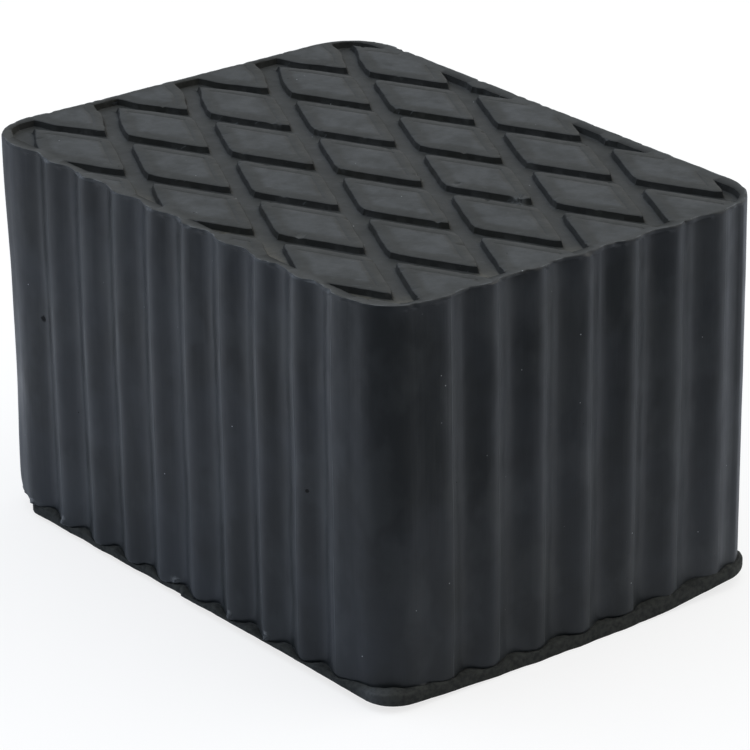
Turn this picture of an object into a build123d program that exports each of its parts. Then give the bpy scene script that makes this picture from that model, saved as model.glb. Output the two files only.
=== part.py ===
from build123d import *
import os
from math import cos, radians, sin, tan

# Ribbed rubber lift block, moulded in one piece.
#
# A rounded oblong block of solid rubber. Its wall is ribbed from the foot to the top, and a
# thin foot runs round the bottom. A shallow straight lip closes the ribs at the top; it sits a
# little towards the back and the left. Criss-cross grooves in the top leave raised diamond pads
# inside a plain rim.
#
# Millimetres, +Z up. The origin is in the middle of the underside and +X runs along the
# length, so the front is -Y and the right side is +X.

# overall form
block_length = 160.0
block_width = 120.0
block_height = 100.0
corner_radius = 15.0

# foot round the bottom, left by the mould's closing plate
foot_height = 3.5
foot_proud = 0.4  # beyond the crests of the ribs
foot_corner_radius = 15.0
foot_full_corner_radius = 8.0  # the fuller corner at the front right
foot_edge_radius = 0.6

# upright ribs, a soft wave in plan
rib_pitch = 14.0
rib_depth = 2.0  # crest to valley
rib_slope = 24.4  # of the ribs' sides, from the wall

# straight lip at the top
lip_height = 2.0
lip_proud = 0.2  # beyond the crests of the ribs, at the back and the left
lip_front_inset = 0.6  # inside the crests
lip_right_inset = 1.4

# grooves in the top, with raised diamonds between them
groove_angle = 25.9  # each set of grooves, from the block's length
groove_pitch = 22.6  # across the grooves
groove_width = 4.6  # at the top
groove_depth = 1.8
groove_draft = 20.0  # lean of the groove walls
tread_offset_x = -3.0  # the pattern sits a little off the middle
tread_offset_y = 2.0

# plain rim round the grooves
rim_width = 3.6
rim_end_width = 2.7  # at the left and right ends
rim_corner_step = 6.5  # how much tighter its corners are than the block's
rim_offset_x = -1.1  # the grooves' outline sits towards the back and the left too
rim_offset_y = 0.65

# lines that the rest is built on
crest_length = block_length - 2 * foot_proud
crest_width = block_width - 2 * foot_proud
lip_length = crest_length + lip_proud - lip_right_inset
lip_width = crest_width + lip_proud - lip_front_inset
lip_offset_x = -(lip_proud + lip_right_inset) / 2
lip_offset_y = (lip_proud + lip_front_inset) / 2
rim_length = crest_length - 2 * rim_end_width
rim_breadth = crest_width - 2 * rim_width
rim_corner_radius = corner_radius - rim_corner_step


# The ribs are a zigzag whose corners are rounded, each corner losing rib_rounding of its height.
rib_radius = (rib_pitch / 4 * tan(radians(rib_slope)) - rib_depth / 2) / (1 / cos(radians(rib_slope)) - 1)
rib_rounding = rib_pitch / 4 * tan(radians(rib_slope)) - rib_depth / 2

def zigzag(half_run, crest, first_valley):
    """Corners of one wall's zigzag, along x, with a valley at first_valley."""
    count = int(half_run // rib_pitch) + 2
    points = []
    for i in range(-count, count + 1):
        valley_x = first_valley + i * rib_pitch
        points.append((valley_x, crest - rib_depth - rib_rounding))
        points.append((valley_x + rib_pitch / 2, crest + rib_rounding))
    return points


# Wall in plan: the corners are round, and the waves are cut from all four sides. The plain
# rectangles keep the corner shape clear of the crests, so that only the waves form them.
with BuildSketch() as wall_outline:
    RectangleRounded(crest_length, crest_width, corner_radius)
    Rectangle(crest_length - 2 * corner_radius, crest_width + 2 * rib_depth)
    Rectangle(crest_length + 2 * rib_depth, crest_width - 2 * corner_radius)

    # front and back, with a valley in the middle
    long_zigzag = zigzag(block_length / 2, crest_width / 2, 0)
    with BuildLine():
        back = FilletPolyline(*long_zigzag, radius=rib_radius)
        front = FilletPolyline(*[(x, -y) for x, y in long_zigzag], radius=rib_radius)
        Line(back @ 0, front @ 0)
        Line(back @ 1, front @ 1)
    make_face(mode=Mode.INTERSECT)

    # left and right, with a crest in the middle
    short_zigzag = zigzag(block_width / 2, crest_length / 2, rib_pitch / 2)
    with BuildLine():
        right = FilletPolyline(*[(y, x) for x, y in short_zigzag], radius=rib_radius)
        left = FilletPolyline(*[(-y, x) for x, y in short_zigzag], radius=rib_radius)
        Line(right @ 0, left @ 0)
        Line(right @ 1, left @ 1)
    make_face(mode=Mode.INTERSECT)


# Grooves to be cut from the top: two crossing sets of tapered bars, kept inside the rim.
groove_run = block_length + block_width
groove_count = 2 * (int(groove_run / groove_pitch / 2) + 1)
groove_floor_width = groove_width - 2 * groove_depth * tan(radians(groove_draft))

with BuildPart() as tread_grooves:
    for angle in (groove_angle, -groove_angle):
        along = Vector(cos(radians(angle)), sin(radians(angle)), 0)
        across = Vector(-sin(radians(angle)), cos(radians(angle)), 0)
        centre = (tread_offset_x, tread_offset_y, block_height)
        with BuildSketch(Plane(origin=centre, x_dir=across, z_dir=along)):
            # the middle of the pattern is a diamond, with grooves half a pitch either side
            with GridLocations(groove_pitch, 1, groove_count, 1):
                Polygon(
                    (-groove_floor_width / 2, -groove_depth),
                    (groove_floor_width / 2, -groove_depth),
                    (groove_width / 2, 0),
                    (-groove_width / 2, 0),
                    align=None,
                )
        extrude(amount=groove_run / 2, both=True)

    with BuildSketch(Plane.XY.offset(block_height)):
        with Locations((rim_offset_x, rim_offset_y)):
            RectangleRounded(rim_length, rim_breadth, rim_corner_radius)
    extrude(amount=-groove_depth, taper=groove_draft, mode=Mode.INTERSECT)


# The block
with BuildPart() as rubber_block:
    # foot
    with BuildSketch() as foot_outline:
        Rectangle(block_length, block_width)
        front_right = Vector(block_length / 2, -block_width / 2)
        fillet(foot_outline.vertices().sort_by_distance(front_right)[1:], radius=foot_corner_radius)
        fillet(foot_outline.vertices().sort_by_distance(front_right)[0], radius=foot_full_corner_radius)
    extrude(amount=foot_height)
    foot_rims = rubber_block.edges().group_by(Axis.Z)
    fillet(foot_rims[0] + foot_rims[-1], radius=foot_edge_radius)

    # ribbed wall
    add(wall_outline.sketch)
    extrude(amount=block_height)

    # lip
    with BuildSketch(Plane.XY.offset(block_height - lip_height)):
        with Locations((lip_offset_x, lip_offset_y)):
            RectangleRounded(lip_length, lip_width, corner_radius)
    extrude(amount=lip_height)

    # tread
    add(tread_grooves.part, mode=Mode.SUBTRACT)

rubber_block.part.label = "rubber_block"

os.makedirs("parts", exist_ok=True)
export_step(rubber_block.part, "parts/rubber_block.step")

box = rubber_block.part.bounding_box()
print("box", [round(v, 3) for v in (*box.min, *box.max)])
print("volume cm3", round(rubber_block.part.volume / 1000, 1), "solids", len(rubber_block.part.solids()))
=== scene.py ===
from math import atan2, ceil, cos, pi, radians, sin

import bpy
import numpy as np
from mathutils import Matrix, Vector, noise
from mathutils.geometry import delaunay_2d_cdt


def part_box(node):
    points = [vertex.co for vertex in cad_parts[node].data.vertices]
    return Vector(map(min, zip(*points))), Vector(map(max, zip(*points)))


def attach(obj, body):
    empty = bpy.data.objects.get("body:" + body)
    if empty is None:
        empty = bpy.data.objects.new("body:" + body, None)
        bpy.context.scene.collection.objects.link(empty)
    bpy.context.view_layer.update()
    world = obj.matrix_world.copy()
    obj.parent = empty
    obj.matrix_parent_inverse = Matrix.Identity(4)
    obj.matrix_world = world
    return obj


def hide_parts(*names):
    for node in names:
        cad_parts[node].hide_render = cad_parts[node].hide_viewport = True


# A moulded rubber lift block: one solid piece with ribbed walls, a thin foot and a diamond tread.
# Lengths are in millimetres and go to metres where a mesh or a material is made.

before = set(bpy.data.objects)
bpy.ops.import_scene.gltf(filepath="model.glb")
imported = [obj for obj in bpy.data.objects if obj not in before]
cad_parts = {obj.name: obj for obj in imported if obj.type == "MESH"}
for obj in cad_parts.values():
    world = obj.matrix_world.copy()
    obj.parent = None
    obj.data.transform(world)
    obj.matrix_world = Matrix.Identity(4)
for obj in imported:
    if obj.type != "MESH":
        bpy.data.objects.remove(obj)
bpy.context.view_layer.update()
low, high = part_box("rubber_block")
millimetre = 0.001
inMetre = 1000  # millimetres
print("frame loaded", [round(inMetre * v) for v in low], [round(inMetre * v) for v in high])


def toLinear(hexColour):
    # sRGB hex to the linear colour that a shader takes
    values = [int(hexColour[i:i + 2], 16) / 255 for i in (1, 3, 5)]
    linear = [v / 12.92 if v <= 0.04045 else ((v + 0.055) / 1.055) ** 2.4 for v in values]
    return linear + [1.0]


block = {
    "length": inMetre * (high[0] - low[0]),
    "width": inMetre * (high[1] - low[1]),
    "height": inMetre * (high[2] - low[2]),
    "cornerRadius": 15.0,
    "cornerMiddle": 4.4,  # how far in from both faces the middle of a corner's arc lies
    "columnStep": 0.82,  # between the wall's upright lines
    "wallRows": 51,
    "taper": (0.0147, 0.003),  # lean at the foot, of the left and front, then the right and back
    "crown": (-0.56, 2.04),  # how far the underside's ends and long edges rise
    "cornerLift": 2.0,  # of the underside's back right corner
    "leftSag": (1.15, 62.0, 100.0),  # of the underside's front edge: depth, start, run to the left
    "cornerFade": (0.45, 12.0),  # flattening of the ribs at the front right corner, and its reach
    "waver": (0.28, 34.0),  # sideways wander of the ribs, and its length
    "ripple": 0.045,  # unevenness of the wall
    "leanHeight": 14.0,  # how far down the front and right walls keep to the inset top edge
    "cornerOut": (0.8, 0.6, -2.0),  # how far the front left corner stands out: top, low, foot
    "cornerHeights": ((60.0, 40.0), (40.0, 30.0), (9.0, 9.0)),  # where each starts, and its run
    "cornerReach": 14.0,
    "cornerSoft": (7.0, 4.0),  # where the ribs soften ahead of the corners, and over what run
    "backLeftInset": 1.3,
}

foot = {
    "height": 3.5,
    "proud": 0.4,  # beyond the rib crests
    "cornerRadius": 15.0,
    "fullCornerRadii": (8.0, 13.0),  # front right and back right
    "edgeRadius": 0.6,
    "ribEnd": 1.3,  # rounding of the ribs' lower ends
    "undercut": 0.22,  # how much of that rounding goes in under the rib
    "ragged": 0.34,
    "flash": 0.5,  # torn scraps where the ribs meet the foot
    "scraps": (-65.0, -51.0, -4.0, 19.5, 34.0),  # places of the larger ones along the front
    "scrapSize": (1.1, 0.9),  # their half width, and how far they stand out
    "scrap": (74.0, -58.0, 3.5),  # glossy crumpled place on the foot: place and size
    "crestDrop": (1.3, 0.5),  # how much lower the crests end than the valleys: front and right
    "cornerRise": (1.3, 1.6, 2.4),  # extra height at the front left, front right and back right
    "cornerRuns": (22.0, 16.0, 46.0),  # how far each of those reaches
    "wornCorner": 4.0,  # how far the front left corner is worn back
    "wornAngles": (-128.0, 28.0),  # degrees round that corner: the middle, and its reach
    # the shelf from the wall to its edge: share of the way, and height there
    "shelf": ((0.10, -0.14), (0.30, -0.08), (0.42, 0.24), (0.52, 0.0), (0.78, 0.08)),
}

ribs = {
    "pitch": 14.0,
    "depth": 2.0,
    "frontShift": -1.4,  # the moulded ribs lie a little to one side
    "endShift": 1.2,
    "frontHighlightLine": -0.85,  # where the painted highlight line runs, from the crest
    "endHighlightLine": 2.1,
}

lip = {
    "height": 1.4,
    "edgeRadius": 0.22,
    "backLeftProud": 0.2,  # beyond the rib crests
    "frontInset": 0.6,
    "rightInset": 0.5,
    "wave": (0.78, 0.5),  # how far the front and right edges follow the ribs
    "ragged": 0.18,
    "nicks": 1.5,
}

tread = {
    "angle": 25.9,
    "pitch": 22.6,
    "grooveWidth": 4.6,
    "offset": (-2.4, 2.2),
    "bluntLeft": (2.0, -73.0, 6.0),  # how much shorter the left pads are, where, and its reach
    "rimWidth": 3.6,
    "rimEndWidth": 2.7,
    "rimCornerRadius": 8.5,
    "rimOffset": (-1.1, 0.65),
    # the groove's wall: distance in from its edge, and depth there
    "wallRuns": (-0.3, -0.08, 0.05, 0.35, 0.55, 1.0, 1.3),
    "wallDepths": (0.0, 0.08, 0.28, 1.66, 1.8, 1.85, 1.86),
    "wallLines": (0.05, 0.35, 0.55, 1.0),  # where the mesh has lines along that wall
    "margin": 3.4,  # width of the pads' lower margins
    "marginBlur": 0.9,
    "marginDrop": 0.12,
    "crease": (2.7, 0.3, 0.10),  # fine line inside the pads' far edges: place, width and depth
    "wander": 0.16,  # of the groove edges
    "cornerRound": (0.42, 1.3),  # of the pads: how far, and how near the corner
    "chips": 90,
    "chipDepth": 1.2,  # only what lies above this chips or tears
    # torn spots: place and size
    "tears": ((41.1, 12.8, 2.6), (24.2, 7.4, 1.3), (27.8, -42.1, 1.7), (13.8, 4.5, 1.4)),
    "lineStep": 0.9,
    "fieldStep": 2.0,
    "fieldGap": 1.6,  # how far the loose points stay from the grooves' edges
}

crestX = block["length"] / 2 - foot["proud"]
crestY = block["width"] / 2 - foot["proud"]
halfLength, halfWidth = round(block["length"] / 2), round(block["width"] / 2)
random = np.random.default_rng(7)


def softNoise(x, y, z, size, seed):
    # smooth noise from -1 to 1, its lumps about size wide
    count = len(x)
    y, z = np.broadcast_to(y, count), np.broadcast_to(z, count)
    return np.array([
        noise.noise(Vector((
            x[i] / size + 17.3 * seed, y[i] / size - 5.1 * seed, z[i] / size + seed)))
        for i in range(count)
    ])


def smooth(t):
    # eases from 0 to 1
    t = np.clip(t, 0, 1)
    return t * t * (3 - 2 * t)


def ribRecess(along, firstValley):
    # depth of the ribs' wave, counted in from the crests
    return ribs["depth"] / 2 * (1 + np.cos(2 * pi * (along - firstValley) / ribs["pitch"]))


def roundedDistance(x, y, halfX, halfY, radius):
    # signed distance to a rounded rectangle, with one radius or one for each point
    qx = np.abs(x) - halfX + radius
    qy = np.abs(y) - halfY + radius
    outside = np.hypot(np.maximum(qx, 0), np.maximum(qy, 0))
    return outside + np.minimum(np.maximum(qx, qy), 0) - radius


def walkOutline():
    # points and outward directions round the crest line, anticlockwise from the front's left end
    r = block["cornerRadius"]
    runX, runY = crestX - r, crestY - r
    points, outward = [], []
    for centre, start, run, along, across in (
        ((0, -crestY), -runX, 2 * runX, (1, 0), (0, -1)),
        ((crestX, 0), -runY, 2 * runY, (0, 1), (1, 0)),
        ((0, crestY), -runX, 2 * runX, (-1, 0), (0, 1)),
        ((-crestX, 0), -runY, 2 * runY, (0, -1), (-1, 0)),
    ):
        count = ceil(run / block["columnStep"])
        for i in range(count):
            t = start + run * i / count
            points.append((centre[0] + t * along[0], centre[1] + t * along[1]))
            outward.append(across)
        end = start + run
        cornerCentre = (
            centre[0] + end * along[0] - r * across[0],
            centre[1] + end * along[1] - r * across[1],
        )
        startAngle = atan2(across[1], across[0])
        cornerCount = ceil(r * pi / 2 / block["columnStep"])
        for i in range(cornerCount):
            a = startAngle + pi / 2 * i / cornerCount
            points.append((cornerCentre[0] + r * cos(a), cornerCentre[1] + r * sin(a)))
            outward.append((cos(a), sin(a)))
    return np.array(points), np.array(outward)


# The walls' upright lines: where they cross the crest line, and which way is out.
crossings, outward = walkOutline()
lineX, lineY = crossings[:, 0], crossings[:, 1]
columns = len(crossings)


def uneven(size, seed):
    # smooth noise round the block, one value for each upright line
    return softNoise(lineX, lineY, 0, size, seed)


def wallInset(shift):
    # how far the ribbed wall lies inside the crest line, found by halving
    inner = np.zeros(columns)
    outer = np.full(columns, 3.0)  # deeper than any valley

    def isClear(depth):
        q = crossings - depth[:, None] * outward
        toFront = ribRecess(q[:, 0] + shift, ribs["frontShift"])
        toEnd = ribRecess(q[:, 1] + shift, ribs["pitch"] / 2 + ribs["endShift"])
        clearY = crestY - toFront - np.abs(q[:, 1])
        clearX = crestX - toEnd - np.abs(q[:, 0])
        return np.minimum(clearX, clearY) >= -1e-6

    atCrest = isClear(inner)
    for _ in range(22):  # to a millionth of a millimetre
        middle = (inner + outer) / 2
        clear = isClear(middle)
        outer = np.where(clear, middle, outer)
        inner = np.where(clear, inner, middle)
    return np.where(atCrest, 0, outer)


def reach(distanceTo):
    # how far each crossing must move outwards to meet an outline, in steps that soon settle
    moved = np.zeros(columns)
    for _ in range(40):
        q = crossings + moved[:, None] * outward
        moved -= distanceTo(q[:, 0], q[:, 1])
    return moved


def footDistance(x, y):
    front, back = foot["fullCornerRadii"]
    radius = np.where(x > 0, np.where(y < 0, front, back), foot["cornerRadius"])
    return roundedDistance(x, y, block["length"] / 2, block["width"] / 2, radius)


def edgeDistance(x, y):
    return roundedDistance(x, y, crestX, crestY, block["cornerRadius"])


def lipDistance(x, y):
    left, right = crestX + lip["backLeftProud"], crestX - lip["rightInset"]
    back, front = crestY + lip["backLeftProud"], crestY - lip["frontInset"]
    return roundedDistance(
        x + (left - right) / 2, y - (back - front) / 2,
        (left + right) / 2, (back + front) / 2, block["cornerRadius"])


# How near each upright line is to the front corners, and where the ribs run out into the corners.
fade, fadeReach = block["cornerFade"]
arcMiddle = block["cornerMiddle"]
fromNearCorner = np.hypot(lineX - crestX + arcMiddle, lineY + crestY - arcMiddle)
fromLeftCorner = np.hypot(lineX + crestX - arcMiddle, lineY + crestY - arcMiddle)
ribShare = 1 - fade * np.exp(-((fromNearCorner / fadeReach) ** 2))
leftCorner = np.exp(-((fromLeftCorner / block["cornerReach"]) ** 2))
fromFlats = np.minimum(np.abs(lineX) - crestX, np.abs(lineY) - crestY) + block["cornerRadius"]
softFrom, softRun = block["cornerSoft"]
roundCorners = smooth((fromFlats + softFrom) / softRun) * ((lineX < 0) | (lineY < 0))
straightLip = reach(lipDistance)


def waverAt(z):
    size, length = block["waver"]
    return size * softNoise(lineX, lineY, 1.6 * z, length, 3)


def insetAt(z):
    # the ribbed wall's distance inside the crest line, softened round the corners
    depth = ribShare * wallInset(waverAt(z))
    for _ in range(12):
        even = 0.5 * depth + 0.25 * (np.roll(depth, 1) + np.roll(depth, -1))
        depth = depth + roundCorners * (even - depth)
    return depth


def leanAt(z):
    # the upper walls lean out from the inset top edge, and the front left corner is uneven
    upper, lower, atFoot = block["cornerOut"]
    (upperZ, upperRun), (lowerZ, lowerRun), (footZ, footRun) = block["cornerHeights"]
    out = upper * smooth((z - upperZ) / upperRun) + lower * smooth((lowerZ - z) / lowerRun)
    out = out + atFoot * np.clip((footZ - z) / footRun, 0, 1) ** 2
    lean = np.exp((z - block["height"]) / block["leanHeight"])
    return np.minimum(straightLip, 0) * lean + out * leftCorner


def rippleAt(z):
    coarse = softNoise(lineX, lineY, 0.45 * z, 5.5, 11)
    fine = softNoise(lineX, lineY, 0.3 * z, 1.9, 12)
    return block["ripple"] * (coarse + 0.45 * fine)


def wallAt(z):
    return -insetAt(z) + rippleAt(z) + leanAt(z)


def ribPlaceAt(z):
    # sine and cosine of the place on a rib, from its painted highlight line, on the front and right
    # flats
    onEnds = np.abs(outward[:, 0]) > 0.5
    along = np.where(onEnds, lineY, lineX)
    lineAt = np.where(
        onEnds,
        ribs["pitch"] + ribs["endShift"] + ribs["endHighlightLine"],
        ribs["pitch"] / 2 + ribs["frontShift"] + ribs["frontHighlightLine"])
    onFlats = np.maximum(outward[:, 0], -outward[:, 1]) > 0.999
    turn = 2 * pi * (along + waverAt(z) - lineAt) / ribs["pitch"]
    return np.where(onFlats, np.sin(turn), 1), np.where(onFlats, np.cos(turn), -1)


def addRow(rows, out, z, part):
    # one row round the block: distance out from the crest line, height, and the part it is on
    rows.append((np.broadcast_to(out, columns).copy(), np.broadcast_to(z, columns).copy(), part))


def addLip(rows):
    # the rounded top edge and the flush band under it, worn ragged and nicked
    top = block["height"]
    nibs = np.maximum(uneven(1.6, 21), 0) ** 2
    ragged = lip["ragged"] * (uneven(3.0, 22) + 0.8 * uneven(8.0, 25) + 1.6 * nibs - 0.2)
    ragged = ragged - lip["nicks"] * (np.abs(uneven(2.6, 26)) - 0.28).clip(0)
    frontWave, rightWave = lip["wave"]
    waved = np.maximum(-frontWave * outward[:, 1], rightWave * outward[:, 0]).clip(0)
    lipOut = straightLip + waved * -insetAt(top) + ragged + block["cornerOut"][0] * leftCorner
    lipHeight = lip["height"] * (0.55 + 0.38 * uneven(9.0, 23) + 0.15 * uneven(2.5, 24))

    r = lip["edgeRadius"]
    for a in (90, 50, 0):
        addRow(rows, lipOut - r + r * cos(radians(a)), top - r + r * sin(radians(a)), "lip")
    upperWall = wallAt(top - 2)
    ledge = np.maximum(lipOut, upperWall)
    for share in (0.35, 0.7, 1.0):
        addRow(rows, lipOut + share * (ledge - lipOut), top - r - share * (lipHeight - r), "wall")
    addRow(rows, upperWall, top - lipHeight - 0.12, "wall")
    return lipHeight


def shelfHeights():
    # how the foot's top rises and falls: lower under the crests, higher at three corners
    leftRise, nearRise, backRise = foot["cornerRise"]
    leftRun, nearRun, backRun = foot["cornerRuns"]
    frontDrop, rightDrop = foot["crestDrop"]
    toLeft = np.exp(-(((lineX + crestX) / leftRun) ** 2)) * (lineY < 0)
    toNear = np.exp(-((fromNearCorner / nearRun) ** 2))
    toBack = smooth((lineY - 2) / backRun) * (lineX > 0) * smooth(outward[:, 0] + 0.2)
    drop = frontDrop + (rightDrop - frontDrop) * smooth(outward[:, 0])
    drop = drop * (1 - np.maximum(np.maximum(leftCorner, toNear), toBack))
    rise = foot["ragged"] * (uneven(4.0, 31) + 0.5 * uneven(1.5, 32))
    rise -= drop * smooth(1 - insetAt(foot["height"]) / ribs["depth"])
    return rise + (leftRise * toLeft + nearRise * toNear + backRise * toBack)


def addWall(rows, lipHeight):
    # the ribbed wall
    startZ = block["height"] - lipHeight - 0.9
    endZ = foot["height"] + foot["ribEnd"] + 0.4
    for i in range(block["wallRows"] + 1):
        z = startZ + (endZ - startZ) * i / block["wallRows"]
        addRow(rows, wallAt(float(z.mean())), z, "wall")


def addRibEnds(rows, shelfRise, scraps):
    # the ribs' rounded lower ends, with torn scraps
    lowWall, _, _ = rows[-1]
    ribEnd = foot["ribEnd"] * (1 + 0.35 * uneven(7.0, 33))
    flash = foot["flash"] * (uneven(1.7, 37) + 0.5 * uneven(4.5, 38)).clip(0)
    flash = flash + foot["scrapSize"][1] * scraps
    for a in (15, 32, 50, 68, 84):
        under = ribEnd * (1 - cos(radians(a))) * foot["undercut"]
        back = under - flash * sin(radians(2 * a)) ** 2
        rise = ribEnd * (1 - sin(radians(a)))
        addRow(rows, lowWall - back, foot["height"] + shelfRise * (a / 90) + rise, "ribEnd")
    return lowWall - foot["undercut"] * ribEnd


def addFoot(rows, shelfRise, gap):
    # the foot's shelf, with a low seam where it is wide, then its edge and underside
    top = foot["height"]
    middle, spread = foot["wornAngles"]
    edgeOut = reach(footDistance) + 0.12 * uneven(5.0, 34) + 0.08 * uneven(1.3, 35) - 0.06
    worn = np.exp(-((np.degrees(np.arctan2(outward[:, 1], outward[:, 0])) - middle) / spread) ** 2)
    edgeOut = edgeOut - foot["wornCorner"] * (worn * ((lineX < 0) & (lineY < 0)))
    radius = foot["edgeRadius"] * (1 + 0.4 * uneven(6.0, 36))
    e = np.minimum(radius, 0.35 * (edgeOut - gap)).clip(0.12)
    shelf = edgeOut - e - gap
    wide = smooth((shelf - 2.2) / 2.0)
    for share, height in foot["shelf"]:
        addRow(rows, gap + share * shelf, top + shelfRise + height * (0.35 + wide), "foot")
    for a in (90, 60, 30, 0):
        out, up = e * cos(radians(a)), e * sin(radians(a))
        addRow(rows, edgeOut - e + out, top + 0.8 * shelfRise - e + up, "foot")
    for z in (1.7, 1.2):
        addRow(rows, edgeOut, np.minimum(z, top + 0.8 * shelfRise - e - 0.1), "foot")
    toe = 0.6 * e
    for a in (0, -30, -60, -90):
        addRow(rows, edgeOut - e + e * cos(radians(a)), toe + toe * sin(radians(a)), "under")


# The top, as depths over a plan that is cut along every line of the tread.
treadAngles = (radians(tread["angle"]), radians(-tread["angle"]))
halfGroove = tread["grooveWidth"] / 2


def acrossGroove(x, y, angle):
    # signed distance from the middle line of the nearest groove of one set
    across = -sin(angle) * (x - tread["offset"][0]) + cos(angle) * (y - tread["offset"][1])
    return np.mod(across, tread["pitch"]) - tread["pitch"] / 2


def grooveDistance(x, y, angle):
    return np.abs(acrossGroove(x, y, angle))


def padRounding(x, y):
    # moves the plan near each pad's corner towards the pad's middle
    far, near = tread["cornerRound"]
    one, two = (acrossGroove(x, y, a) for a in treadAngles)
    fromCorner = np.hypot(np.abs(one) - halfGroove, np.abs(two) - halfGroove)
    closeness = np.exp(-((fromCorner / near) ** 2))
    towards = [
        np.sign(across)[:, None] * np.array((-sin(angle), cos(angle)))
        for across, angle in zip((one, two), treadAngles)
    ]
    overlap = 1 + (towards[0] * towards[1]).sum(axis=1)
    return (far * closeness / overlap)[:, None] * (towards[0] + towards[1])


def rimSizes(inset):
    halfX, halfY = crestX - tread["rimEndWidth"] - inset, crestY - tread["rimWidth"] - inset
    return halfX, halfY, max(tread["rimCornerRadius"] - inset, 1)


def rimDistance(x, y):
    # distance inside the rim's inner line
    return -roundedDistance(x - tread["rimOffset"][0], y - tread["rimOffset"][1], *rimSizes(0))


def sink(distance):
    # how deep the groove's wall has gone at a distance in from its edge
    return np.interp(distance, tread["wallRuns"], tread["wallDepths"])


def padDistance(x, y):
    # distance in from the edge of the pad under a point, and below 0 in the grooves
    return np.minimum(*[grooveDistance(x, y, a) for a in treadAngles]) - halfGroove


def treadDepth(x, y):
    grooves = np.maximum(*[sink(halfGroove - grooveDistance(x, y, a)) for a in treadAngles])
    return np.minimum(grooves, sink(rimDistance(x, y)))


def line(a, b, step):
    # evenly spaced points from a to b
    count = max(1, ceil(((b[0] - a[0]) ** 2 + (b[1] - a[1]) ** 2) ** 0.5 / step))
    return [
        (a[0] + (b[0] - a[0]) * i / count, a[1] + (b[1] - a[1]) * i / count)
        for i in range(count + 1)
    ]


def rimLoop(inset):
    # one line round the rim's inner wall
    halfX, halfY, radius = rimSizes(inset)
    offsetX, offsetY = tread["rimOffset"]
    loop = []
    steps = 12  # round each corner
    for cx, cy, start in ((1, -1, -90), (1, 1, 0), (-1, 1, 90), (-1, -1, 180)):
        for i in range(steps + 1):
            a = radians(start + 90 * i / steps)
            loop.append((
                cx * (halfX - radius) + radius * cos(a) + offsetX,
                cy * (halfY - radius) + radius * sin(a) + offsetY,
            ))
    fine = []
    for a, b in zip(loop, loop[1:] + loop[:1]):
        fine += line(a, b, tread["lineStep"])[:-1]
    return fine


def grooveLines():
    # the lines along both walls of every groove, and along the pads' margins and creases
    span = block["length"] + block["width"]
    ts = np.arange(-span, span, 0.25)  # places along a line, to find where it crosses the rim
    place, width, _ = tread["crease"]
    margin, blur = tread["margin"], tread["marginBlur"]
    grooves = 8  # to each side of the middle, enough to cross the whole top
    for angle in treadAngles:
        along = np.array((cos(angle), sin(angle)))
        across = np.array((-sin(angle), cos(angle)))
        for k in range(-grooves, grooves):
            middle = (k + 0.5) * tread["pitch"]
            for side in (-1, 1):
                runs = [-margin - blur, -margin + blur, -0.2, *tread["wallLines"]]
                if side < 0:
                    runs += [-place - width, -place, -place + width]
                for run in runs:
                    base = np.array(tread["offset"]) + across * (middle + side * (halfGroove - run))
                    # the stretch of the line that lies inside the rim
                    inside = rimDistance(base[0] + along[0] * ts, base[1] + along[1] * ts) > 0.02
                    if inside.sum() >= 4:
                        a, b = ts[inside][0], ts[inside][-1]
                        yield line(base + along * a, base + along * b, tread["lineStep"])


def topPlan(outline, innerOutline):
    # plan points and lines of the top: its outline, the rim's lines and the grooves' lines
    points, edges = [], []

    def addLine(run, closed=False):
        first = len(points)
        points.extend(run)
        n = len(run)
        edges.extend((first + i, first + (i + 1) % n) for i in range(n if closed else n - 1))

    addLine([tuple(p) for p in outline], closed=True)
    addLine([tuple(p) for p in innerOutline[::2]], closed=True)
    for inset in tread["wallLines"]:
        addLine(rimLoop(inset), closed=True)
    for run in grooveLines():
        addLine(run)

    # loose points in close rows, so that the pads, the rim and the groove floors can be uneven
    step, gap = tread["fieldStep"], tread["fieldGap"]
    for row, y in enumerate(np.arange(-crestY, crestY, step * 0.87)):
        xs = np.arange(-crestX + (row % 2) * step / 2, crestX, step)
        inRim = rimDistance(xs, y)
        away = np.minimum(*[np.abs(grooveDistance(xs, y, a) - halfGroove) for a in treadAngles])
        onOutline = edgeDistance(xs, np.full(len(xs), y)) > -3.3
        keep = ~onOutline & ((inRim < -0.8) | ((inRim > gap) & (away > gap)))
        points.extend((float(x), float(y)) for x in xs[keep])
    return points, edges


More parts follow.
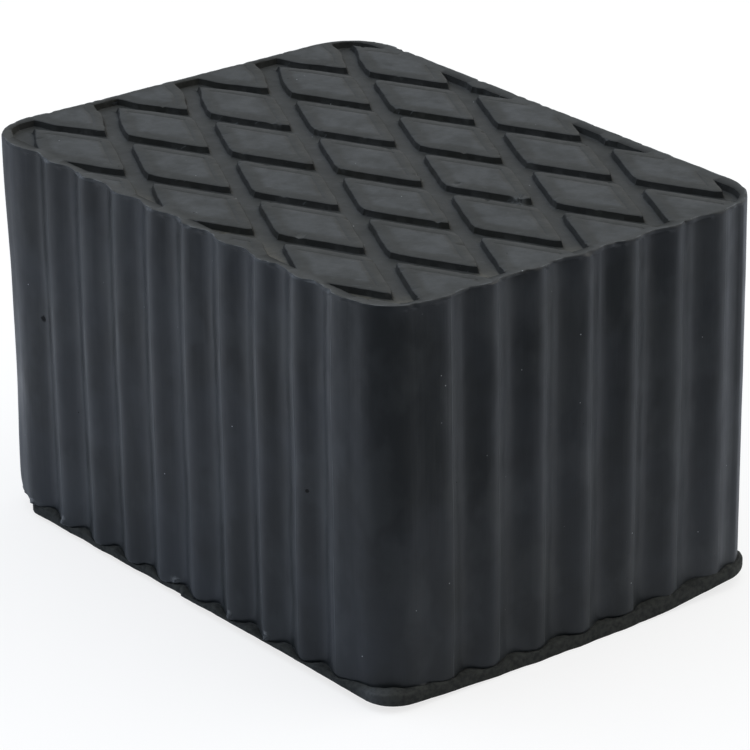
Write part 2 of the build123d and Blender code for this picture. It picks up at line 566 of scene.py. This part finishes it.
def buildTop(outline, innerOutline):
    # the top's points and faces, its points on the outline, and where each finish lies
    plan, edges = topPlan(outline, innerOutline)
    coords, _, faces, origin, _, _ = delaunay_2d_cdt([Vector(p) for p in plan], edges, [], 1, 1e-4)
    coords = np.array([tuple(c) for c in coords])
    onOutline = {new: old for new, olds in enumerate(origin) for old in olds if old < columns}
    x, y = coords[:, 0], coords[:, 1]
    depth = treadDepth(x, y)
    fromPad = padDistance(x, y)
    inRim = rimDistance(x, y)

    # the pads slope to their margins and have a fine crease along their far edges
    isPad = (fromPad > 0) & (inRim > 0)
    blur = tread["marginBlur"]
    margin = np.where(isPad, 1 - smooth((fromPad - tread["margin"] + blur) / (2 * blur)), 0)
    slope = np.where(isPad, 1 - np.clip(fromPad / tread["margin"], 0, 1), 0)
    depth += tread["marginDrop"] * (0.35 * margin + 0.65 * slope)
    place, width, sinkage = tread["crease"]
    nearCrease = isPad & (fromPad > place - width - 0.05)
    for angle in treadAngles:
        fromFar = -acrossGroove(x, y, angle) - halfGroove
        crease = sinkage * (1 - smooth(np.abs(fromFar - place) / width))
        depth += np.where(nearCrease, crease, 0)

    # the grooves' walls and floors, and the slight unevenness of it all
    inGroove = np.minimum(-fromPad, inRim)
    onSide = np.interp(inGroove, (-0.15, 0.04, 0.36, 0.55, 1.0), (0, 1, 1, 0.3, 0))
    onFloor = np.interp(inGroove, (0.36, 0.54), (0, 1))
    depth += 0.05 * (1 + softNoise(x, y, 0, 9.0, 41)) + onFloor * 0.07 * softNoise(x, y, 0, 4.0, 42)

    # chips along the pads' edges, then the larger torn spots
    edgeCoords = coords[(np.abs(fromPad) < 0.35) & (inRim > 0.5)]
    for spot in edgeCoords[random.integers(0, len(edgeCoords), tread["chips"])]:
        size = random.uniform(0.5, 1.1)
        fall = 1 - np.hypot(x - spot[0], y - spot[1]) / size
        depth += np.where(depth < tread["chipDepth"], 0.4 * size * smooth(fall), 0)
    tears = np.zeros(len(x))
    for tearX, tearY, size in tread["tears"]:
        fall = smooth(1.6 - 1.6 * np.hypot(x - tearX, y - tearY) / size)
        tears = np.maximum(tears, fall * (0.6 + 0.8 * softNoise(x, y, 0, 0.7, 44)))
    depth += np.where(depth < tread["chipDepth"], 0.7 * tears, -0.5 * tears.clip(0))

    # the groove edges wander, the pads' corners are rounded, and the left pads are short
    sway = tread["wander"] * np.column_stack([
        softNoise(x, y, 0, 6.0, seed) + 0.6 * softNoise(x, y, 0, 1.8, seed + 1) for seed in (51, 53)
    ])
    sway += padRounding(x, y) * smooth((inRim - 0.5) / 1.0)[:, None]
    blunt, bluntX, bluntReach = tread["bluntLeft"]
    sway[:, 0] += blunt * np.exp(-(((x - bluntX) / bluntReach) ** 2)) * smooth((inRim - 1) / 3)
    placed = coords + sway * smooth(inRim + 1)[:, None]

    # grit lies thickest where the grooves meet the near rim
    nearSide = smooth((0.9 * x / crestX - y / crestY - 0.1) / 0.9)
    zones = {
        "treadZone": np.ones(len(x)),
        "marginZone": margin,
        "floorZone": onFloor,
        "sideZone": onSide,
        "rimZone": 1 - smooth((inRim + 0.4) / 0.6),
        "edgeZone": np.isin(np.arange(len(x)), list(onOutline)).astype(float),
        "dustZone": onFloor * nearSide * np.exp(-((inRim / (1.5 + 3.5 * nearSide)) ** 2)),
        "tearZone": tears.clip(0),
    }
    return np.column_stack((placed, block["height"] - depth)), faces, onOutline, zones


def undersideRise(x, y):
    # the underside's crown, its raised back right corner and its sagging front left edge
    crownX, crownY = block["crown"]
    sag, sagStart, sagRun = block["leftSag"]
    corner = smooth((x / halfLength + y / halfWidth - 1.35) / 0.6)
    sagging = smooth((sagStart - x) / sagRun) * smooth(-y / halfWidth)
    rise = -min(crownX, 0) + crownX * (x / halfLength) ** 2 + crownY * (y / halfWidth) ** 2
    return rise + block["cornerLift"] * corner - sag * sagging


def settle(vertices):
    # the block narrows to its foot, is out of square at the back left, and has a crowned underside
    x, y, height = vertices[:, 0], vertices[:, 1], vertices[:, 2].copy()
    nearTaper, farTaper = block["taper"]
    for place, half in ((x, halfLength), (y, halfWidth)):
        toFar = smooth(place / half + 0.5)
        place *= 1 - (nearTaper + (farTaper - nearTaper) * toFar) * (1 - height / block["height"])
    x += block["backLeftInset"] * (0.5 + y / (2 * halfWidth)) * (0.5 - x / (2 * halfLength))
    vertices[:, 2] += undersideRise(x, y) * np.clip(1 - height / (foot["height"] - 0.6), 0, 1)


def joinRings(first, second):
    # faces between two rings of points
    return [
        (first + i, second + i, second + (i + 1) % columns, first + (i + 1) % columns)
        for i in range(columns)
    ]


def closeUnderside(vertices, ring):
    # inner rings that keep the underside's crown, then a fan
    underside = vertices[ring:ring + columns].copy()
    extra, faces = [], []
    for share in (0.75, 0.5, 0.25):
        inner = underside.copy()
        inner[:, :2] *= share
        inner[:, 2] = undersideRise(inner[:, 0], inner[:, 1])
        first = len(vertices) + columns * len(extra)
        extra.append(inner)
        faces += joinRings(ring, first)
        ring = first
    middle = len(vertices) + columns * len(extra)
    faces += [(ring + i, middle, ring + (i + 1) % columns) for i in range(columns)]
    return np.vstack([vertices, *extra, [[0, 0, undersideRise(0, 0)]]]), faces


def makeSkin(vertices, faces, zones):
    # the piece itself, with its finishes as values on the mesh
    mesh = bpy.data.meshes.new("rubberBlockSkin")
    mesh.from_pydata([tuple(millimetre * c for c in v) for v in vertices], [], faces)
    for name, values in zones.items():
        below = float(name == "footZone")  # the value on the underside's inner rings
        full = np.concatenate((values, np.full(len(vertices) - len(values), below)))
        mesh.attributes.new(name, "FLOAT", "POINT").data.foreach_set("value", full)
    mesh.update()
    piece = bpy.data.objects.new("rubberBlockSkin", mesh)
    bpy.context.scene.collection.objects.link(piece)
    for face in mesh.polygons:
        face.use_smooth = True
    mesh.set_sharp_from_angle(angle=radians(42))
    return piece


def buildBlock():
    rows = []
    lipHeight = addLip(rows)
    scrapWidth = foot["scrapSize"][0]
    scraps = sum(np.exp(-(((lineX - x) / scrapWidth) ** 2)) for x in foot["scraps"])
    scraps = scraps * (outward[:, 1] < -0.9)
    shelfRise = shelfHeights()
    addWall(rows, lipHeight)
    gap = addRibEnds(rows, shelfRise, scraps)
    addFoot(rows, shelfRise, gap)
    rowParts = [part for _, _, part in rows]
    grid = np.array([
        np.column_stack((crossings + out[:, None] * outward, z)) for out, z, _ in rows
    ])
    print("side built", len(rows), "rows of", columns)

    # the top's mesh shares the first row, and its other points follow the side's
    outline = grid[0, :, :2]
    topPoints, topFaces, index, topZones = buildTop(outline, outline - 0.45 * outward)
    vertices = list(grid.reshape(-1, 3))
    for new, point in enumerate(topPoints):
        if new not in index:
            index[new] = len(vertices)
            vertices.append(point)
    vertices = np.array(vertices)
    onSide = columns * len(rows)
    part = np.repeat(rowParts + ["top"], [columns] * len(rows) + [len(vertices) - onSide])
    zones = {}
    for name, values in topZones.items():
        zones[name] = np.zeros(len(vertices))
        zones[name][[index[new] for new in range(len(topPoints))]] = values
    print("top built", len(topPoints), "points")

    settle(vertices)
    ringSin, ringCos = zip(*[ribPlaceAt(float(z.mean())) for _, z, _ in rows])
    for name, ring in (("ribSin", ringSin), ("ribCos", ringCos)):
        zones[name] = np.full(len(vertices), -1.0)
        zones[name][:onSide] = np.concatenate(ring)
    zones["footZone"] = ((part == "foot") | (part == "under")).astype(float)
    x, y, size = foot["scrap"]
    scrap = np.exp(-((np.hypot(vertices[:, 0] - x, vertices[:, 1] - y) / size) ** 2))
    zones["tearZone"] = np.maximum(zones["tearZone"], scrap * zones["footZone"])
    zones["tearZone"][part == "ribEnd"] = np.tile(scraps, rowParts.count("ribEnd"))
    for axis in range(3):
        vertices[:, axis] = np.clip(vertices[:, axis], inMetre * low[axis], inMetre * high[axis])

    faces = []
    for k in range(len(rows) - 1):
        faces += joinRings(k * columns, (k + 1) * columns)
    vertices, underFaces = closeUnderside(vertices, onSide - columns)
    faces += underFaces + [tuple(index[v] for v in face) for face in topFaces]
    print("block mesh", len(vertices), "points", len(faces), "faces")
    return makeSkin(vertices, faces, zones)


blockSkin = buildBlock()
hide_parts("rubber_block")
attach(blockSkin, "root")
print("block built")


def addNode(tree, kind, sockets, settings=None, output=0):
    # adds a node with its settings, fills its sockets with values or links, and gives one output
    node = tree.nodes.new("ShaderNode" + kind)
    for name, value in (settings or {}).items():
        setattr(node, name, value)
    for socket, value in sockets.items() if isinstance(sockets, dict) else enumerate(sockets):
        if isinstance(value, bpy.types.NodeSocket):
            tree.links.new(value, node.inputs[socket])
        else:
            node.inputs[socket].default_value = toLinear(value) if isinstance(value, str) else value
    return node.outputs[output] if node.outputs else None


# settings that many nodes share
times = {"operation": "MULTIPLY", "use_clamp": True}
plus = {"operation": "ADD", "use_clamp": True}
minus = {"operation": "SUBTRACT", "use_clamp": True}
larger = {"operation": "MAXIMUM", "use_clamp": True}
unsigned = {"operation": "ABSOLUTE", "use_clamp": True}
blend = {"data_type": "RGBA"}
dot = {"operation": "DOT_PRODUCT"}


# Moulded rubber: a dull black skin that only shines where light grazes it. Its top is greyed by
# bloom and wear, the foot is coarser and olive, and grit has settled in the grooves.
# Painted light: the pale line along the ribs is a painted highlight; the darker groove walls and
# the near black holes are painted shade.
rubber = {
    "skin": "#1a1e20",
    "skinLight": "#25292d",
    "pad": "#383b3c",
    "padMargin": "#222421",
    "grooveFloor": "#282a28",
    # painted shade: the groove walls are darker than the pads
    "grooveWallShade": "#1a1c1b",
    "grooveSilt": "#1a1b16",
    "rim": "#2c2e2c",
    "foot": "#343633",
    "footDark": "#1f2120",
    "dust": "#5f5c50",
    "speck": "#c4c8ca",
    # pale grey for scuffs, bloom, tool marks and tears, and for the painted highlight along the
    # ribs
    "holeShade": "#030303",
    # painted shade: near black for the insides of the holes
    "scuffAndHighlight": "#5b5f61",
    "roughness": 0.33,
    "topRoughness": 0.5,
    "grooveRoughness": 0.88,
    "footRoughness": 0.95,
    "ior": 1.52,
    # small holes in the front: place and radius
    "holes": (((-57.6, -58.5, 56.0), 1.15), ((50.5, -58.5, 47.5), 0.7)),
    "holeStretch": 0.1,  # how much less the depth counts than the place on the wall
}


def makeMouldedRubber():
    material = bpy.data.materials.new("mouldedRubber")
    material.use_nodes = True
    tree = material.node_tree
    tree.nodes.clear()
    place = addNode(tree, "TexCoord", {}, output="Object")

    def lumps(size, stretch=(1, 1, 1), turn=0.0, seed=0.0, detail=2.0):
        # noise whose lumps are about size millimetres wide, drawn out by stretch
        turned = addNode(tree, "Mapping", {
            "Vector": place, "Location": (seed, -seed, 0.37 * seed), "Rotation": (0, 0, turn),
        })
        sized = addNode(tree, "Mapping", {
            "Vector": turned, "Scale": tuple(inMetre / (size * s) for s in stretch),
        })
        return addNode(tree, "TexNoise", {"Vector": sized, "Scale": 1.0, "Detail": detail})

    def specks(size, share, seed):
        # small scattered grains: 1 inside a grain, in the given share of cells
        moved = addNode(tree, "Mapping", {"Vector": place, "Location": (seed, seed, seed)})
        cells = addNode(tree, "TexVoronoi", {"Vector": moved, "Scale": inMetre / (4 * size)}).node
        grain = addNode(tree, "MapRange", [cells.outputs["Distance"], 0.16, 0.10])
        picked = addNode(tree, "MapRange", [cells.outputs["Color"], 1 - share, 1 - share + 0.02])
        return addNode(tree, "Math", [grain, picked], times)

    def painted(colour, *coats):
        # lays coats over a colour, each where its share says
        for share, coat in coats:
            colour = addNode(tree, "Mix", {0: share, 6: colour, 7: coat}, blend, 2)
        return colour

    onTop, onMargin, onFloor, onRim, onFoot, onDust, onSide, onEdge, onTear, ribSin, ribCos = (
        addNode(tree, "Attribute", {}, {"attribute_name": name}, "Fac")
        for name in (  # the finishes that the mesh carries
            "treadZone", "marginZone", "floorZone", "rimZone", "footZone", "dustZone",
            "sideZone", "edgeZone", "tearZone", "ribSin", "ribCos",
        )
    )

    # lumps shared by colour, gloss and bump, from wide to fine
    patches = lumps(22, seed=1.3, detail=4.0)
    bloom = lumps(13, (1, 1, 1.5), seed=12.6, detail=8.0)
    blotches = lumps(6, (1, 1, 1.6), seed=2.1, detail=5.0)
    dents = lumps(4.5, (1, 1, 1.8), seed=9.1, detail=1.0)
    edgeWear = lumps(3.5, seed=8.3, detail=4.0)
    wideDrags = lumps(2.6, (1, 1, 30), seed=4.4, detail=2.0)
    mottle = lumps(1.8, seed=13.4, detail=5.0)
    pebble = lumps(1.3, seed=6.9, detail=3.0)
    broken = lumps(1.2, (1, 1, 9), seed=11.9, detail=3.0)
    drags = lumps(0.9, (1, 1, 45), seed=3.7, detail=3.0)
    grain = lumps(0.35, seed=5.2, detail=3.0)  # finer on real rubber, drawn so that it shows
    fineDrags = lumps(0.32, (1, 1, 60), seed=10.3, detail=1.0)
    toolMarks = lumps(0.3, (12, 1, 12), turn=radians(-38), seed=7.7, detail=2.0)

    # painted highlight: a pale line along each rib on the front and right flats, broken up; it also
    # raises a fine ridge in the bump
    fromLine = addNode(tree, "Math", [ribSin, 0.0], unsigned)
    ribHighlightAndRidge = addNode(tree, "Math", [
        addNode(tree, "MapRange", [fromLine, 0.14, 0.02]),
        addNode(tree, "MapRange", [ribCos, 0.0, 0.1]),
    ], times)
    unbroken = addNode(tree, "MapRange", [broken, 0.36, 0.56])
    ribHighlightAndRidge = addNode(tree, "Math", [ribHighlightAndRidge, unbroken], times)

    # small holes, in the wall and scattered: their near black colour is painted shade, and they dip
    # in the bump
    shadedPits = specks(0.3, 0.05, 5.3)
    flat = rubber["holeStretch"]
    flattened = addNode(tree, "Mapping", {"Vector": place, "Scale": (1, flat, 1)})
    for (x, y, z), radius in rubber["holes"]:
        away = addNode(tree, "VectorMath", [
            flattened, (millimetre * x, flat * millimetre * y, millimetre * z),
        ], {"operation": "DISTANCE"}, "Value")
        ragged = addNode(tree, "MapRange", [grain, 0.3, 0.7, 0.0, 0.4 * radius * millimetre])
        reachOut = addNode(tree, "Math", [away, ragged], plus)
        holeShade = addNode(tree, "MapRange", [reachOut, radius * millimetre, 0.7 * radius * millimetre])
        shadedPits = addNode(tree, "Math", [shadedPits, holeShade], larger)
    white = addNode(tree, "Math", [specks(0.28, 0.08, 0.8), specks(0.45, 0.02, 2.9)], larger)

    # colour of the walls, with a painted highlight along the ribs
    wallColour = painted(
        rubber["skin"],
        (addNode(tree, "MapRange", [patches, 0.42, 0.58]), rubber["skinLight"]),
        (addNode(tree, "MapRange", [bloom, 0.50, 0.60, 0.0, 0.12]), rubber["scuffAndHighlight"]),
        (addNode(tree, "Math", [ribHighlightAndRidge, 0.35], times), rubber["scuffAndHighlight"]))

    # colour of the top: pads, groove floors, rim, groove walls darkened as painted shade, tool
    # marks, grit and worn edge
    patchyMargin = addNode(tree, "Math", [
        addNode(tree, "Math", [onMargin, 0.6], times),
        addNode(tree, "Math", [blotches, 0.7], times),
    ], plus)
    silted = addNode(tree, "MapRange", [patches, 0.5, 0.6, 0.0, 0.7])
    gritty = addNode(tree, "MapRange", [pebble, 0.35, 0.70, 0.3, 1.0])
    worn = addNode(tree, "MapRange", [edgeWear, 0.48, 0.60])
    topColour = painted(
        rubber["pad"],
        (addNode(tree, "MapRange", [blotches, 0.42, 0.62, 0.0, 0.4]), rubber["padMargin"]),
        (addNode(tree, "MapRange", [patchyMargin, 0.40, 0.90]), rubber["padMargin"]),
        (addNode(tree, "MapRange", [mottle, 0.40, 0.62, 0.0, 0.28]), rubber["padMargin"]),
        (onFloor, rubber["grooveFloor"]),
        (onRim, rubber["rim"]),
        # painted shade on the groove walls, under brownish silt
        (onSide, painted(rubber["grooveWallShade"], (silted, rubber["grooveSilt"]))),
        (addNode(tree, "MapRange", [toolMarks, 0.68, 0.76, 0.0, 0.6]), rubber["scuffAndHighlight"]),
        (addNode(tree, "Math", [onDust, gritty], times), rubber["dust"]),
        (addNode(tree, "Math", [onEdge, worn], times), rubber["scuffAndHighlight"]))

    # colour of the whole: walls, top, foot, holes, torn places and pale specks
    coarse = addNode(tree, "MapRange", [pebble, 0.40, 0.62])
    colour = painted(
        wallColour,
        (onTop, topColour),
        (addNode(tree, "Math", [onFoot, 0.9], times),
         painted(rubber["foot"], (coarse, rubber["footDark"]))),
        # painted shade in the holes
        (shadedPits, rubber["holeShade"]),
        (addNode(tree, "Math", [onTear, 0.3], times), rubber["scuffAndHighlight"]),
        (addNode(tree, "Math", [white, 0.8], times), rubber["speck"]))

    # gloss: the skin's, uneven by a little, then duller or glossier by place
    skinRough, topRough = rubber["roughness"], rubber["topRoughness"]
    rough = addNode(tree, "MapRange", [patches, 0.3, 0.7, skinRough - 0.05, skinRough + 0.05])
    for source, start, end, amount in (
        (blotches, 0.4, 0.65, 0.08),
        (bloom, 0.48, 0.60, 0.04),
        (wideDrags, 0.4, 0.65, 0.05),
    ):
        dulled = addNode(tree, "MapRange", [source, start, end, 0.0, amount])
        rough = addNode(tree, "Math", [rough, dulled], plus)
    for share, amount, change in (
        (onTop, topRough - skinRough, plus),
        (onFoot, rubber["footRoughness"] - skinRough, plus),
        (onSide, rubber["grooveRoughness"] - topRough, plus),
        (white, 0.2, plus),
        (shadedPits, 0.5, plus),
        (onTear, 0.35, minus),
    ):
        changed = addNode(tree, "Math", [share, amount], times)
        rough = addNode(tree, "Math", [rough, changed], change)

    # bump, from broad dents down to the fine grain: height, where, and depth in millimetres
    offWall = addNode(tree, "Math", [onTop, onFoot], larger)
    onWall = addNode(tree, "Math", [1.0, offWall], minus)
    onGrit = addNode(tree, "Math", [onFoot, onRim], larger)
    bump = {}
    for height, share, depth in (
        (dents, onWall, 0.20),
        (wideDrags, onWall, 0.06),
        (drags, onWall, 0.022),
        (fineDrags, onWall, 0.010),
        (ribHighlightAndRidge, onWall, 0.05),
        (toolMarks, onTop, 0.028),
        (mottle, onTop, 0.05),
        (pebble, onGrit, 0.07),
        (addNode(tree, "Math", [1.0, shadedPits], minus), 1.0, 0.4),
        (grain, 1.0, 0.012),
        (pebble, onTear, 0.5),
    ):
        raised = addNode(tree, "Math", [height, share], times)
        bump = {"Normal": addNode(tree, "Bump", {
            **bump, "Strength": 1.0, "Distance": depth * millimetre, "Height": raised,
        })}

    shader = addNode(tree, "BsdfPrincipled", {
        **bump, "Base Color": colour, "Roughness": rough, "IOR": rubber["ior"],
    })
    addNode(tree, "OutputMaterial", {"Surface": shader})
    return material


blockSkin.data.materials.append(makeMouldedRubber())
print("materials made")

studio = {
    "floorColour": "#f0f3fa",
    "floorSize": 3.0,  # metres from the middle to each side
    "leftSky": "#e4efff",
    "rightSky": "#fffdf8",
    "skyStrength": 1.5,
    # brightness round the room, from behind the block to the dim side
    "ring": ((0.0, 0.38), (0.22, 1.0), (0.5, 0.72), (0.9, 0.05)),
    "dimAzimuth": 50.0,  # where the dim side lies, anticlockwise from the front
    "dimDrop": -0.35,  # how far it lies below the horizon
    # painted shade on the floor round the block: its colour from the far side to the dim side, seen
    # only off the block
    "floorAzimuth": 60.0,
    "floorReach": 0.16,  # metres
    "floorShadeRing": (
        (0.0, 0.5), (0.11, 1.0), (0.2, 1.0), (0.33, 0.82), (0.5, 0.82),
        (0.61, 0.90), (0.73, 0.73), (0.86, 0.62), (0.93, 0.70), (1.0, 0.27)),
    # the floor as the camera sees it: its glow, and how strongly it shows the block's shadow
    "shownGlow": 0.75,
    "shownGrey": 0.3,
}


def setLevels(tone, levels):
    # grey levels by place from 0 to 1, on a colour ramp
    stops = tone.node.color_ramp
    stops.interpolation = "EASE"
    for position, level in levels[1:-1]:
        stops.elements.new(position)
    for stop, (position, level) in zip(stops.elements, levels):
        stop.position = position
        stop.color = (level, level, level, 1)


def makeFloor():
    # matt pale board: takes a soft shadow, and lights the walls from below; its colour darkens
    # towards the dim side as painted shade
    mesh = bpy.data.meshes.new("studioFloor")
    far = studio["floorSize"]
    corners = [(-far, -far, 0), (far, -far, 0), (far, far, 0), (-far, far, 0)]
    mesh.from_pydata(corners, [], [(0, 1, 2, 3)])
    floor = bpy.data.objects.new("studioFloor", mesh)
    bpy.context.scene.collection.objects.link(floor)
    material = bpy.data.materials.new("paleFloor")
    material.use_nodes = True
    tree = material.node_tree
    tree.nodes.clear()
    place = addNode(tree, "TexCoord", {}, output="Object")
    az, reachOut = radians(studio["floorAzimuth"]), studio["floorReach"]
    # painted shade: the floor's colour darkens towards the dim side
    toDim = addNode(tree, "VectorMath", [place, (sin(az), -cos(az), 0)], dot, "Value")
    tone = addNode(tree, "ValToRGB", [addNode(tree, "MapRange", [toDim, -reachOut, reachOut])])
    setLevels(tone, studio["floorShadeRing"])
    shadedFloor = addNode(tree, "Mix", {0: 1.0, 6: tone, 7: studio["floorColour"]}, {
        "data_type": "RGBA", "blend_type": "MULTIPLY",
    }, 2)
    grey = studio["shownGrey"]
    shown = addNode(tree, "AddShader", [
        addNode(tree, "BsdfDiffuse", {"Color": (grey, grey, grey, 1)}),
        addNode(tree, "Emission", {"Color": (1, 1, 1, 1), "Strength": studio["shownGlow"]}),
    ])
    addNode(tree, "OutputMaterial", {"Surface": addNode(tree, "MixShader", [
        addNode(tree, "LightPath", {}, output="Is Camera Ray"),
        addNode(tree, "BsdfDiffuse", {"Color": shadedFloor}),
        shown,
    ])})
    mesh.materials.append(material)


def makeRoom():
    # plain soft light all round, dimmer to one side, and white to the camera
    world = bpy.data.worlds.new("studioWorld")
    bpy.context.scene.world = world
    world.use_nodes = True
    tree = world.node_tree
    tree.nodes.clear()
    direction = addNode(tree, "TexCoord", {}, output="Generated")
    az = radians(studio["dimAzimuth"])
    toDim = addNode(tree, "VectorMath", [
        direction, (sin(az), -cos(az), studio["dimDrop"]),
    ], dot, "Value")
    tone = addNode(tree, "ValToRGB", [addNode(tree, "MapRange", [toDim, -1.0, 1.0])])
    setLevels(tone, studio["ring"])
    toLeft = addNode(tree, "VectorMath", [direction, (-cos(az), -sin(az), 0)], dot, "Value")
    tint = addNode(tree, "Mix", {
        0: addNode(tree, "MapRange", [toLeft, -0.5, 0.5]),
        6: studio["rightSky"],
        7: studio["leftSky"],
    }, blend, 2)
    level = addNode(tree, "Math", [tone, studio["skyStrength"]], {"operation": "MULTIPLY"})
    addNode(tree, "OutputWorld", {"Surface": addNode(tree, "MixShader", [
        addNode(tree, "LightPath", {}, output="Is Camera Ray"),
        addNode(tree, "Background", {"Color": tint, "Strength": level}),
        addNode(tree, "Background", {"Color": (1, 1, 1, 1), "Strength": 1.0}),
    ])})


makeFloor()
makeRoom()
print("studio made")

view = {
    "azimuth": 51.71,
    "elevation": 23.02,
    "roll": -0.52,
    "across": 1.33,  # moves the camera sideways
    "up": -5.38,
    "distance": 1058.4,
    "lens": 206.17,
    "sensor": 36,
    "clipEnd": 50,  # metres
}


def makeCamera():
    az, el, roll = (radians(view[k]) for k in ("azimuth", "elevation", "roll"))
    back = Vector((sin(az) * cos(el), -cos(az) * cos(el), sin(el)))
    right = Vector((cos(az), sin(az), 0))
    up = back.cross(right)
    tiltedRight = cos(roll) * right + sin(roll) * up
    tiltedUp = cos(roll) * up - sin(roll) * right
    place = back * view["distance"] + tiltedRight * view["across"] + tiltedUp * view["up"]
    place += Vector((0, 0, block["height"] / 2))
    data = bpy.data.cameras.new("studioCamera")
    data.lens = view["lens"]
    data.sensor_width = view["sensor"]
    data.clip_end = view["clipEnd"]
    camera = bpy.data.objects.new("studioCamera", data)
    bpy.context.scene.collection.objects.link(camera)
    matrix = Matrix((tiltedRight, tiltedUp, back)).transposed().to_4x4()
    matrix.translation = place * millimetre
    camera.matrix_world = matrix
    bpy.context.scene.camera = camera


makeCamera()

bpy.context.scene.view_settings.view_transform = "Standard"
